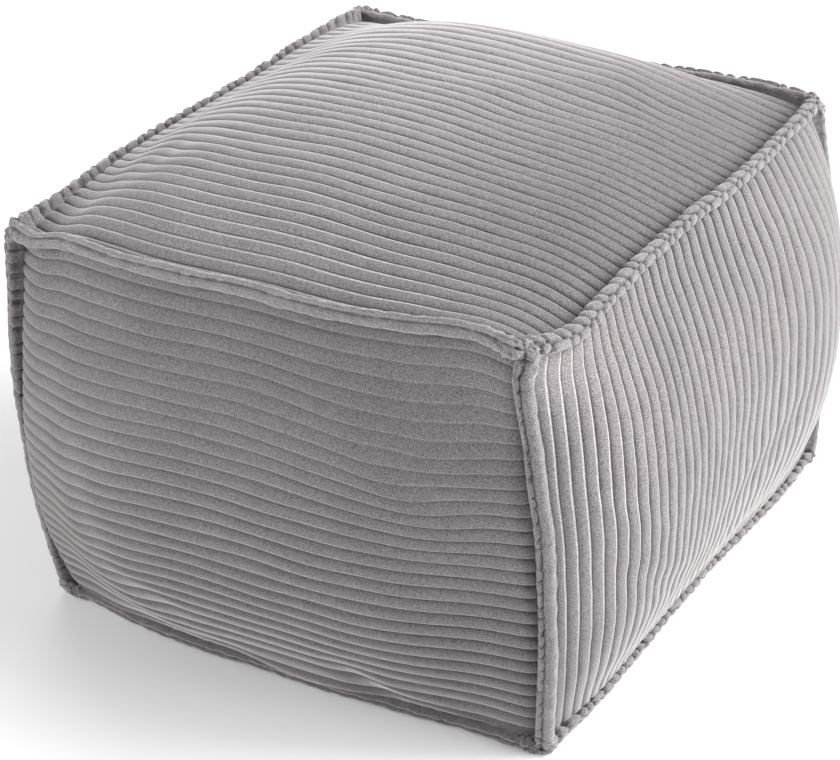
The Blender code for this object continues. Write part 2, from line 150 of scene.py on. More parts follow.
# Creases and puckers pressed into the panels. Columns: where it starts and ends on the panel, half
# its width, how far it stands out in millimetres, how far it drags the wales sideways in wales.
FOLDS = {
    "top": (
        (0.28, 0.30, 0.62, 0.62, 0.10, -0.9, 0.25),
        (0.45, 0.72, 0.72, 0.42, 0.07, 0.8, -0.2),
        (-0.86, -0.75, -0.66, -0.42, 0.06, -1.2, 0.35),
        (-0.5, -0.25, 0.3, -0.35, 0.12, -0.8, 0.2),
        (-0.75, 0.3, -0.4, 0.55, 0.10, 0.9, -0.25),
    ),
    "front": (
        (-0.68, -0.50, -0.36, -0.72, 0.06, -1.2, 0.35),
        (-0.54, -0.80, -0.30, -0.95, 0.07, 1.2, -0.35),
        (-0.26, -0.84, -0.08, -0.93, 0.06, 1.1, -0.25),
        (0.36, -0.86, 0.46, -0.97, 0.06, -2.0, 0.3),
        (0.52, -0.88, 0.70, -0.95, 0.06, 1.8, -0.3),
        (-0.68, 0.1, -0.58, -0.45, 0.07, -1.0, 0.2),
        (0.55, 0.45, 0.85, 0.2, 0.07, -0.9, 0.3),
    ),
    "right": (
        (-0.62, -0.1, -0.3, -0.42, 0.06, -1.3, 0.2),
        (-0.75, 0.3, -0.45, 0.05, 0.07, 0.9, -0.12),
        (0.1, -0.30, 0.5, -0.12, 0.08, -1.1, 0.35),
        (-0.2, -0.7, 0.25, -0.6, 0.07, 1.1, -0.3),
        (0.3, 0.55, 0.6, 0.75, 0.08, -0.9, 0.25),
    ),
    "back": ((-0.5, -0.2, -0.1, -0.5, 0.08, -1.2, 0.3), (0.2, 0.3, 0.6, 0.1, 0.08, 1.0, -0.3)),
    "left": ((-0.4, -0.3, 0.1, -0.5, 0.08, -1.2, 0.3), (0.3, 0.2, 0.6, -0.2, 0.08, 1.0, -0.3)),
    "bottom": (),
}

# The seams. Columns: wales that cross it, half the thickness of its first and second fold in
# millimetres, how far each stands past the sewn line, and whether the wales cross each fold.
# The first fold is the upper one, or on an upright seam the one beside the front or back.
LIPS = {
    "top_front": (0, (2.5, 3.3), (12.2, 10.8), (False, False)),
    "top_right": (WALES_DEEP, (3.1, 3.0), (12.4, 11.8), (True, True)),
    "top_left": (WALES_DEEP, (3.1, 3.1), (12.0, 12.0), (True, True)),
    "top_back": (WALES_WIDE, (3.3, 3.1), (9.4, 12.2), (False, True)),
    "bottom_front": (0, (2.9, 2.4), (12.0, 11.0), (False, False)),
    "bottom_right": (WALES_DEEP, (2.7, 2.6), (12.0, 11.4), (True, True)),
    "bottom_left": (WALES_DEEP, (2.7, 2.6), (12.0, 11.4), (True, True)),
    "bottom_back": (WALES_WIDE, (2.7, 2.6), (12.0, 11.4), (True, False)),
    "post_front_left": (WALES_HIGH, (3.8, 2.3), (11.6, 12.0), (True, False)),
    "post_front_right": (WALES_HIGH, (2.3, 4.6), (10.0, 12.8), (True, False)),
    "post_back_right": (0, (2.9, 2.9), (11.8, 11.8), (False, False)),
    "post_back_left": (0, (2.9, 2.9), (11.8, 11.8), (False, False)),
}

# How far each top seam stands up for each unit that it stands out, and the millimetres by which
# a lip is lower in the middle of its seam than at the corners.
UPRIGHT = {"top_front": 1.0, "top_right": 1.0, "top_left": 2.4, "top_back": 1.8}
LIP_DROP = {"top_left": 3.8}

# How thick the folds of some seams are along them, as a share of their usual thickness. Columns:
# place along the seam, first fold, second fold.
THICKNESS = {
    "top_right": (
        (-1.0, 1.2, 1.15), (-0.9, 1.5, 1.05), (-0.7, 1.5, 0.95), (-0.4, 1.2, 1.05), (0.2, 1.05, 1.05),
        (1.0, 1.05, 1.05),
    ),
    "top_left": ((-1.0, 1.0, 1.1), (-0.7, 0.95, 1.0), (1.0, 0.95, 0.95)),
}
EVEN = ((-1.0, 1.0, 1.0), (1.0, 1.0, 1.0))

# The beads of a fold that wales cross, and the seams where they are not the usual. Columns: how deep
# the grooves between them are in metres, how far the beads of the first and second fold lean along
# the seam in wales, and how square they are.
USUAL_BEADS = (0.0026, (0.10, -0.04), 2.5)
BEADS = {
    "top_right": (0.0026, (0.28, 0.04), 3.0),
    "top_left": (0.0030, (0.10, -0.04), 2.5),
    "bottom_right": (0.0034, (0.10, -0.04), 2.5),
    "post_front_left": (0.0030, (0.10, -0.04), 2.5),
}

# How much lighter or darker the painted light and shade of some seams are, as a share of the usual: the top
# back and lower seams are painted darker, as they lie in shade.
LIP_PAINTED_LIGHT = {"top_front": 1.15, "bottom_front": 0.55, "bottom_left": 0.7, "top_back": 0.9, "top_left": 1.1}

# How far the cloth bulges over its seams, close beside them. Columns: place along the seam,
# millimetres; one table for each of the panel's seams: low, high, first, last.
RIMS = {
    "top": (((-1, 0), (1, 0)), ((-1, 2), (1, 2)), ((-1, 3), (1, 4)), ((-1, 1), (1, 1))),
    "front": (
        ((-1, 8), (-0.78, 7), (-0.6, 3), (-0.2, 2), (0.08, 7), (0.28, 6), (0.45, 3), (1, 4)),
        ((-1, 1), (1, 1)),
        ((-1, 7), (0.0, 7), (0.4, 4), (1, 2)),
        ((-1, 3), (1, 3)),
    ),
    "right": (
        ((-1, 4), (1, 4)), ((-1, 3), (1, 3)), ((-1, 2), (1, 2)), ((-1, 6), (0.0, 7), (0.8, 7), (1, 5)),
    ),
    "back": (((-1, 4), (1, 4)), ((-1, 2), (1, 2)), ((-1, 3), (1, 3)), ((-1, 3), (1, 3))),
    "left": (((-1, 4), (1, 4)), ((-1, 2), (1, 2)), ((-1, 3), (1, 3)), ((-1, 3), (1, 3))),
}
RIM_WIDTH = 0.009

# Where the cloth is pulled so tight that its wales lie flatter. Columns: the place on the panel,
# half its width both ways, and the share of the wales' height that is lost there. Where the share
# is negative the wales stand higher.
TIGHT = {
    "top": ((-0.95, 0.2, 0.35, 1.2, 0.50), (0.85, 0.0, 0.50, 1.5, -0.65)),
    "right": ((0.4, 0.3, 0.7, 0.8, -0.40), (-0.90, 0.88, 0.15, 0.22, 0.5)),
    "front": ((-0.1, 0.50, 0.85, 0.50, 0.62), (0.70, 0.72, 0.34, 0.34, 0.85), (0.2, -0.45, 1.0, 0.5, -0.25)),
}


def unit(vector):
    vector = np.asarray(vector, float)
    return vector / np.linalg.norm(vector, axis=-1, keepdims=True)


def mix(low, high, place):
    """The value between low and high at a place from -1 to 1."""
    return low * (1 - place) / 2 + high * (1 + place) / 2


def smooth_through(rows, column, place):
    """A smooth curve through one column of a table, read at places from -1 to 1."""
    x = np.array([row[0] for row in rows], float)
    y = np.array([row[column] for row in rows], float)
    slope = np.gradient(y, x)
    place = np.clip(np.asarray(place, float), -1, 1)
    i = np.clip(np.searchsorted(x, place, side="right") - 1, 0, len(x) - 2)
    width = x[i + 1] - x[i]
    s = (place - x[i]) / width
    start = y[i] * (1 + 2 * s) * (1 - s) ** 2 + slope[i] * width * s * (1 - s) ** 2
    end = y[i + 1] * s * s * (3 - 2 * s) + slope[i + 1] * width * s * s * (s - 1)
    return start + end


def waves(seed, count, x, y, shortest, longest):
    """Gentle uneven waves of about unit size over a plane."""
    chance = np.random.default_rng(seed)
    total = np.zeros(np.broadcast(x, y).shape)
    for _ in range(count):
        turn = chance.uniform(0, 2 * np.pi)
        length = chance.uniform(shortest, longest)
        phase = chance.uniform(0, 2 * np.pi)
        total = total + np.sin((x * np.cos(turn) + y * np.sin(turn)) * 2 * np.pi / length + phase)
    return total / np.sqrt(count)


def corner_root(side_x, side_y, side_z):
    """Where three seams meet on the body."""
    height = CORNER_HEIGHT if side_z > 0 else LOWER_SEAM_HEIGHT
    drift = MM * np.array(CORNER_DRIFT[(side_x, side_y, side_z)])
    tip = np.array([side_x * WIDTH / 2, side_y * DEPTH / 2, height]) + drift
    lean = np.sqrt(0.5)
    rise = lean if side_z > 0 else 0.0
    return MIDDLE + tip - LIP_REACH * np.array([side_x * lean, side_y * lean, rise])


class Seam:
    """One seam: its two corners, and the directions in which it strays and its lip points."""

    def __init__(self, name, first, last, outwards, sideways, lip):
        self.name = name
        self.first = first
        self.last = last
        self.outwards = unit(outwards)
        self.sideways = unit(sideways)
        self.lip = unit(lip)

    def root(self, place):
        """Points of the sewn line on the body. Past its ends the line runs straight on."""
        place = np.asarray(place, float)[..., None]
        stray_out = smooth_through(STRAY[self.name], 1, place)
        stray_side = smooth_through(STRAY[self.name], 2, place)
        straight = mix(corner_root(*self.first), corner_root(*self.last), place)
        return straight + MM * (stray_out * self.outwards + stray_side * self.sideways)


def make_seams():
    found = {}
    for level, side_z in (("top", 1), ("bottom", -1)):
        rise = 1 if side_z > 0 else 0
        for face, axis, side in (("front", 1, -1), ("back", 1, 1), ("right", 0, 1), ("left", 0, -1)):
            out = np.zeros(3)
            out[axis] = side
            ends = [[0, 0, side_z], [0, 0, side_z]]
            for end, along in zip(ends, (-1, 1)):
                end[axis] = side
                end[1 - axis] = along
            name = f"{level}_{face}"
            lip = out + (0, 0, rise * UPRIGHT[name]) if rise else out
            found[name] = Seam(name, tuple(ends[0]), tuple(ends[1]), out, (0, 0, 1), lip)
    for depth, side_y in (("front", -1), ("back", 1)):
        for flank, side_x in (("left", -1), ("right", 1)):
            out = np.array([side_x, side_y, 0.0])
            name = f"post_{depth}_{flank}"
            sideways = np.array([-side_y, side_x, 0.0])
            found[name] = Seam(name, (side_x, side_y, -1), (side_x, side_y, 1), out, sideways, out)
    return found


SEAMS = make_seams()


def panel_surface(name, u, v):
    """Points of a swollen panel at its own places u and v, each from -1 to 1."""
    axis, side, swell, power, fuller, rounder, _, seams = PANELS[name]
    low, high, first, last = (SEAMS[seam] for seam in seams)
    u, v = np.broadcast_arrays(np.asarray(u, float), np.asarray(v, float))
    across, up = u[..., None], v[..., None]
    between = mix(low.root(u), high.root(u), up) + mix(first.root(v), last.root(v), across)
    corners = mix(
        mix(low.root(-1.0), low.root(1.0), across), mix(high.root(-1.0), high.root(1.0), across), up
    )
    height = (1 - np.abs(across) ** power[0]) * (1 - np.abs(up) ** power[1])
    height = height * (1 + fuller[0] * across + fuller[1] * up)
    height = height * (1 + rounder[0] * across**2 + rounder[1] * up**2)
    swollen = np.zeros(3)
    swollen[axis] = side * swell
    return between - corners + height * swollen


def wale_lines(name, along, numbers):
    """Where wales lie across a panel, from -1 to 1, at places along it. They lie evenly over the
    swollen cloth, but for where they crowd away from the seams that they run into."""
    count, runs_along_u = WALES[name][:2]
    crowd = PANELS[name][6]
    dense = np.linspace(-1, 1, 161)
    if runs_along_u:
        cloth = panel_surface(name, along[:, None], dense[None, :])
    else:
        cloth = panel_surface(name, dense[None, :], along[:, None])
    lengths = np.cumsum(np.linalg.norm(np.diff(cloth, axis=1), axis=2), axis=1)
    even = np.concatenate([np.zeros((len(along), 1)), lengths / lengths[:, -1:]], axis=1)
    w = 2 * even - 1
    wale = count * (even + (1 - w**2) * (crowd[0] + crowd[1] * w) * (1 - np.abs(along) ** crowd[2])[:, None])
    return np.array([np.interp(numbers[k], wale[k], dense) for k in range(len(along))])


def panel_normal(name, u, v):
    """Directions straight out of a panel."""
    step = 0.004
    along_u = panel_surface(name, u + step, v) - panel_surface(name, u - step, v)
    along_v = panel_surface(name, u, v + step) - panel_surface(name, u, v - step)
    normal = unit(np.cross(along_u, along_v))
    axis, side = PANELS[name][:2]
    return normal * side * np.sign(normal[..., axis : axis + 1])


# How much closer together the modelled points lie near the ends of a wale.
RUN_CROWDING = 1.25

# Places within one wale, closer together beside its grooves.
WALE_PLACES = np.array([0.0, 0.025, 0.055, 0.095, 0.15, 0.24, 0.37, 0.5, 0.63, 0.73, 0.79, 0.84, 0.90, 0.95])

# How square the wales of a panel are, and how steeply any wale rises from its groove.
WALE_SQUARENESS = 3.2
WALE_STEEPNESS = 0.75


def wale_height(place, squareness):
    """The height of the cloth within a wale, from 0 in the groove to 1 on the crest."""
    away = np.abs(2 * (place - np.floor(place)) - 1)
    return (1 - away**squareness) ** WALE_STEEPNESS


def rim_on(name, u, v):
    """How far the cloth stands out where it bulges over the panel's seams."""
    total = np.zeros(np.broadcast(u, v).shape)
    sides = ((v, u, -1), (v, u, 1), (u, v, -1), (u, v, 1))
    for rows, (across, along, side) in zip(RIMS.get(name, ()), sides):
        away = (1 - side * across) * WIDTH / 2 / RIM_WIDTH
        taper = 1 - np.abs(along) ** 8
        total = total + MM * smooth_through(rows, 1, along) * taper * away * np.exp(1 - away)
    return total


# How far a fold runs out past its ends, in its own half width, and how hard it drags the wales.
FOLD_RUNOUT = 1.5
FOLD_DRAG = 0.6


def folds_on(name, u, v):
    """How far the folds stand out of a panel, in metres, and how far they drag its wales."""
    out = np.zeros(np.broadcast(u, v).shape)
    drag = np.zeros_like(out)
    for u0, v0, u1, v1, half, height, pull in FOLDS[name]:
        along = np.array([u1 - u0, v1 - v0])
        length = np.linalg.norm(along)
        along = along / length
        s = (u - u0) * along[0] + (v - v0) * along[1]
        d = (v - v0) * along[0] - (u - u0) * along[1]
        past = np.clip(np.abs(s - length / 2) - length / 2, 0, None)
        ends = np.exp(-((past / (half * FOLD_RUNOUT)) ** 2))
        out = out + MM * height * ends * np.exp(-((d / half) ** 2))
        drag = drag + pull * ends * (d / half) * np.exp(0.5 - (d / half) ** 2 / 2) * FOLD_DRAG
    return out, drag


# Painted light and shade within a wale, as a share of the usual colour: the groove is painted dark as shade,
# and the flank that the lamps and the sheen light most is painted lighter than the other.
PAINTED_WALE_LIGHT_PLACES = (0.0, 0.03, 0.08, 0.2, 0.4, 0.65, 0.8, 0.9, 0.96, 1.0)
PAINTED_WALE_LIGHT = {
    "top": (0.45, 1.0, 1.25, 1.20, 1.06, 1.0, 1.0, 1.0, 1.0, 0.50),
    "front": (0.86, 0.83, 0.81, 0.83, 0.90, 0.98, 1.01, 1.02, 1.02, 0.95),
    "right": (0.42, 0.86, 0.96, 0.98, 0.98, 1.0, 1.04, 1.04, 1.0, 0.48),
    "back": (0.62, 0.96, 1.06, 1.06, 1.02, 1.0, 1.0, 1.0, 1.0, 0.62),
    "left": (0.86, 0.83, 0.81, 0.83, 0.90, 0.98, 1.01, 1.02, 1.02, 0.95),
    "bottom": (0.62, 1.0, 1.0, 1.0, 1.0, 1.0, 1.0, 1.0, 1.0, 0.62),
}

# The painted highlight along the lit edge of each wale. Columns: its place within the wale, how wide it is
# there, and how much brighter it looks.
PAINTED_EDGE_HIGHLIGHTS = {
    "top": (0.85, 0.060, 1.30),
    "front": (0.92, 0.038, 0.62),
    "right": (0.85, 0.060, 1.35),
    "back": (0.85, 0.060, 0.8),
    "left": (0.92, 0.038, 0.5),
    "bottom": (0.85, 0.060, 0.0),
}

# The panels whose painted light and shade lie the other way across their wales.
PAINTED_LIGHT_FLIPPED = ("front", "left")

# Where a panel is painted lighter or darker, as the lamps light it there, and its painted light and dark
# wale edges differ more or less. Columns: whether that changes along the panel's first direction or its
# second, where it begins and is full, how much brighter its wales look there, how much brighter beside the
# groove, and how much more their light and dark edges differ.
PAINTED_LIGHT_AREAS = {
    "top": (
        (True, 0.15, 0.75, -0.30, 0.0, 0.8),
        (True, -0.40, -0.95, -0.25, 0.0, -0.4),
        (False, -0.40, -0.85, 0.18, 0.0, -0.1),
    ),
    "front": ((False, 0.0, -0.7, -0.10, 0.0, 0.6), (False, -0.05, 0.55, -0.07, 0.0, -0.55)),
    "right": (
        (True, -0.30, -0.80, 0.10, 0.85, -0.30),
        (True, 0.1, 0.7, -0.06, 0.0, 0.5),
        (False, -0.30, -0.85, -0.12, 0.0, -0.4),
    ),
}

# How much of a wale the painted change beside its groove covers.
GROOVE_SHADE_WIDTH = 0.16

# How unevenly a panel lies: how far its wales wander together and each on its own, in wales, how far
# the cloth waves in and out, in metres, and by what share the height of its wales varies.
WANDER = 0.06
OWN_WANDER = 0.035
UNEVEN_SWELL = 0.55 * MM
UNEVEN_RELIEF = 0.10

# The share of their height that wales lose where they run into a seam, and how soon that fades.
PRESSED = 0.35
PRESSED_WIDTH = 0.02

# The height within a wale at which it meets the panel's own surface.
MEAN_HEIGHT = 0.55

# The last places at which a panel's direction is measured, close beside its seams.
NEAR_SEAM = 0.995

# The bottom lies flat, its wales pressed to this height, this far over the floor.
BOTTOM_RELIEF = 0.0004
BOTTOM_GAP = 0.0002


def tightness(name, u, v):
    """The share of the wales' height that is left where the cloth is pulled tight."""
    left = np.ones(np.broadcast(u, v).shape)
    for u0, v0, half_u, half_v, lost in TIGHT.get(name, ()):
        left = left * (1 - lost * np.exp(-(((u - u0) / half_u) ** 2) - ((v - v0) / half_v) ** 2))
    return left


def bell(place, row):
    """A smooth rise about a place. The row says where, how wide and how strong it is."""
    middle, width, strength = row
    return strength * np.exp(-(((place - middle) / width) ** 2))


def panel_painted_light(name, u, v, within):
    """Painted light and shade over a panel, as a share of the usual colour."""
    share = within - np.floor(within)
    if name in PAINTED_LIGHT_FLIPPED:
        share = 1 - share
    painted_light = np.interp(share, PAINTED_WALE_LIGHT_PLACES, PAINTED_WALE_LIGHT[name]) + bell(share, PAINTED_EDGE_HIGHLIGHTS[name])
    for first_way, start, full, brighter, by_groove, contrast in PAINTED_LIGHT_AREAS.get(name, ()):
        away = np.clip(((u if first_way else v) - start) / (full - start), 0, 1)
        painted_light = 1 + (painted_light - 1) * (1 + contrast * away)
        painted_light = painted_light * (1 + brighter * away + by_groove * away * np.exp(-share / GROOVE_SHADE_WIDTH))
    return painted_light.ravel()


def grid_faces(index):
    """Four-sided faces between the neighbours in a grid of point numbers."""
    corners = [index[:-1, :-1], index[1:, :-1], index[1:, 1:], index[:-1, 1:]]
    return np.stack(corners, -1).reshape(-1, 4)


def fading(along, across, lateness):
    """1 over most of a panel, fading to 0 at its seams."""
    return (1 - along**lateness) * (1 - across**lateness)


def panel_mesh(name):
    """Points, faces and painted light and shade of one panel, each of its wales standing out of it."""
    count, runs_along_u, run_points = WALES[name]
    axis, side = PANELS[name][:2]
    seed = sorted(WALES).index(name)

    # The grid of points: their places along the wales, and across them in wales.
    across_wales = np.append((np.arange(count)[:, None] + WALE_PLACES[None, :]).ravel(), count)
    own_number = np.append(np.arange(count).repeat(len(WALE_PLACES)), count - 1)
    run = np.sin(np.linspace(-1, 1, run_points) * RUN_CROWDING) / np.sin(RUN_CROWDING)
    along = np.broadcast_to(run[:, None], (run_points, len(across_wales)))
    across_even = np.broadcast_to(across_wales * 2 / count - 1, along.shape)
    within = np.broadcast_to(across_wales[None, :], along.shape)
    numbers = np.broadcast_to(own_number[None, :], along.shape)
    u, v = (along, across_even) if runs_along_u else (across_even, along)

    # Where the wales lie. At the seams themselves nothing strays.
    edge = fading(along, across_even, 4)
    late_edge = fading(along, across_even, 14)
    fold_out, fold_drag = folds_on(name, u, v)
    wander = WANDER * waves(seed + 10, 9, u, v, 0.3, 0.9) + fold_drag
    for middle_u, middle_v, half_u, half_v, drop in DROPS.get(name, ()):
        near = np.exp(-(((u - middle_u) / half_u) ** 2) - ((v - middle_v) / half_v) ** 2)
        wander = wander - drop * near
    own = OWN_WANDER * waves(seed + 20, 6, along * 3.0, own_number[None, :] * 0.83, 0.5, 1.6)
    across = wale_lines(name, run, across_wales[None, :] + (wander + own) * edge)
    cloth_u, cloth_v = (along, across) if runs_along_u else (across, along)

    # How far the cloth stands out of the swollen surface.
    swell = UNEVEN_SWELL * waves(seed + 30, 8, u, v, 0.4, 1.2) * edge + fold_out * late_edge
    swell = swell + rim_on(name, cloth_u, cloth_v)
    pressed = 1 - PRESSED * np.exp(-((1 - np.abs(along)) / PRESSED_WIDTH))
    uneven = 1 + UNEVEN_RELIEF * waves(seed + 40, 6, along * 2.0, numbers * 0.61, 0.3, 1.2)
    relief = WALE_RELIEF * pressed * uneven * tightness(name, u, v)
    if name == "bottom":
        swell, relief = 0.0, BOTTOM_RELIEF
    out = swell + relief * (wale_height(within, WALE_SQUARENESS) - MEAN_HEIGHT)
    normal = panel_normal(
        name, np.clip(cloth_u, -NEAR_SEAM, NEAR_SEAM), np.clip(cloth_v, -NEAR_SEAM, NEAR_SEAM)
    )
    points = panel_surface(name, cloth_u, cloth_v) + out[..., None] * normal
    if name == "bottom":
        points[..., 2] = np.clip(points[..., 2], BOTTOM_GAP, None)

    # The faces, turned outwards.
    rows, columns = u.shape
    faces = grid_faces(np.arange(rows * columns).reshape(rows, columns))
    flat = points.reshape(-1, 3)
    a, b, c = flat[faces[len(faces) // 2 + columns // 2][[0, 1, 3]]]
    if np.cross(b - a, c - a)[axis] * side < 0:
        faces = faces[:, ::-1]
    return flat, faces, panel_painted_light(name, u, v, within)


def first_side(seam):
    """The direction, square to the lip, towards the panel that its first fold comes from."""
    if seam.name.startswith("post"):
        return np.array([0.0, seam.outwards[1], 0.0])
    return np.array([0.0, 0.0, 1.0])


# The places round a lip's section, from the foot of its first fold over both folds to the other
# foot: shares of a flank's height, and shares of the way round a crown.
FLANK_SHARES = np.linspace(0.0, 0.55, 4)[:-1]
CROWN_SHARES = np.linspace(0.0, 1.0, 13)

# How far apart the two folds stand, in their own radius: plain ones, and those that wales cross.
SPREAD = {False: 0.86, True: 0.68}

# A flank: how far out its foot is in metres, its half width there and how much it widens as it
# rises, both in radii, how fast it rises, and the angle at which its relief stands out.
FOOT_OUT = 0.0015
FOOT_WIDTH = 1.25
FLANK_WIDENING = 0.5
FLANK_RISE = 1.6
FLANK_ANGLE = -0.3

# The angle at which a crown begins, and the base that reaches into the seam: its half width in
# radii and its depth in metres.
CROWN_START = -0.55
BASE_WIDTH = 0.7
BASE_DEPTH = 0.003


def lip_section(radius, height, crossed):
    """Where a lip's points lie beside and out from the sewn line, for each place along it, and the
    angle and fold of each."""
    sides, outs, angles, folds = [], [], [], []
    for fold, sign in ((0, 1.0), (1, -1.0)):
        r, h = radius[:, fold], height[:, fold]
        run = []
        for s in FLANK_SHARES:
            out = FOOT_OUT + (h - r - FOOT_OUT) * s * FLANK_RISE
            run.append((r * (FOOT_WIDTH + FLANK_WIDENING * s), out, FLANK_ANGLE))
        spread = SPREAD[crossed[fold]]
        for a in CROWN_START + (np.arccos(-spread) - CROWN_START) * CROWN_SHARES:
            run.append((r * (spread + np.cos(a)), h - r + r * np.sin(a), a))
        for side, out, angle in run if fold == 0 else run[::-1]:
            sides.append(sign * side)
            outs.append(out)
            angles.append(angle)
            folds.append(fold)
    for fold, sign in ((1, -1.0), (0, 1.0)):
        sides.append(sign * BASE_WIDTH * radius[:, fold])
        outs.append(np.full(len(radius), -BASE_DEPTH))
        angles.append(-np.pi / 2)
        folds.append(fold)
    return np.array(sides).T, np.array(outs).T, np.array(angles), np.array(folds)


# The creases across a plain fold: how far apart they are in metres, how far they slant and wander,
# in their own spacing, and how wide and how deep they are.
CREASE_SPACING = 0.013
CREASE_SLANT = 0.42
CREASE_WANDER = 0.30
CREASE_WIDTH = 0.22
CREASE_DEPTH = 0.0006


def creases(seed, metres, angle):
    """Narrow slanting creases of uneven strength across a plain fold, from 0 to 1."""
    wander = CREASE_WANDER * waves(seed, 4, metres, angle * 0.01, 0.02, 0.06)
    count = metres / CREASE_SPACING + CREASE_SLANT * angle + wander
    away = np.abs(2 * (count - np.floor(count)) - 1)
    strength = 0.5 + 0.5 * np.sin(np.floor(count + 0.5) * 2.4 + seed)
    return strength * np.exp(-(((1 - away) / CREASE_WIDTH) ** 2))


# How finely a lip is modelled along its seam. A plain one is as fine as if this many wales crossed it.
POINTS_A_WALE = 14
PLAIN_AS_WALES = 30

# How far a lip runs on past the corners, and how long and how much thicker the knot at its ends is.
OVERRUN = 0.006
KNOT_LENGTH = 0.012
KNOT_SWELL = 0.12

# How unevenly a lip lies: by what share of a wale its beads wander and by what share their depth
# varies, then in metres how far it crumples, bulges and sways, and how far its ends crumple. Folds
# that wales cross crumple by only a share of that.
BEAD_WANDER = 0.20
UNEVEN_BEADS = 0.35
CRUMPLE = 0.00026
CROSSED_CRUMPLE = 0.55
BULGE = 0.0003
SWAY = 0.0006
KNOT_CRUMPLE = 0.0009

# The radius by which angles round a fold count as metres, and the height at which a lip sways in full.
FOLD_RADIUS = 0.004
LIP_HEIGHT = 0.012

# The height above which a lip has relief, and how far over the floor its lowest points lie.
RELIEF_FROM = 0.003
LIP_GAP = 0.0003

# How a lip closes at its ends: over how many times the overrun, about which share of its height,
# and the square of the smallest size that is left.
CLOSING = 1.2
CENTRE_SHARE = 0.55
SMALLEST_END = 0.004

# Painted light and shade on a lip: how bright it looks in the grooves between its beads, painted dark as
# shade, and how much brighter on their crests, painted as lit, and on the second fold.
PAINTED_GROOVE_SHADE = 0.50
PAINTED_CREST_LIGHT = 0.56
SECOND_FOLD_TONE = 0.08

# The painted highlight on the lit edge of each bead, the painted shade in the valley between the folds and
# the painted highlight on the valley's lit edge. Columns: place, width and strength, the places in beads or
# as angles from the valley.
PAINTED_BEAD_HIGHLIGHT = (0.80, 0.07, 0.40)
PAINTED_VALLEY_SHADE = (0.0, 0.25, 0.45)
PAINTED_VALLEY_HIGHLIGHT = (-0.45, 0.28, 0.35)


def lip_painted_light(name, bead, number, fold, angle, is_crossed):
    """Painted light and shade over a seam's two folds, as a share of the usual colour."""
    bead_highlight = bell(number - np.floor(number), PAINTED_BEAD_HIGHLIGHT) * is_crossed
    from_valley = angle - np.arccos(-np.where(is_crossed, SPREAD[True], SPREAD[False]))
    valley_highlight = bell(from_valley, PAINTED_VALLEY_HIGHLIGHT) * (fold == 0) * ~is_crossed
    painted_light = PAINTED_GROOVE_SHADE + PAINTED_CREST_LIGHT * bead + bead_highlight + valley_highlight - bell(from_valley, PAINTED_VALLEY_SHADE)
    return ((painted_light + SECOND_FOLD_TONE * (fold == 1)) * LIP_PAINTED_LIGHT.get(name, 1.0)).ravel()


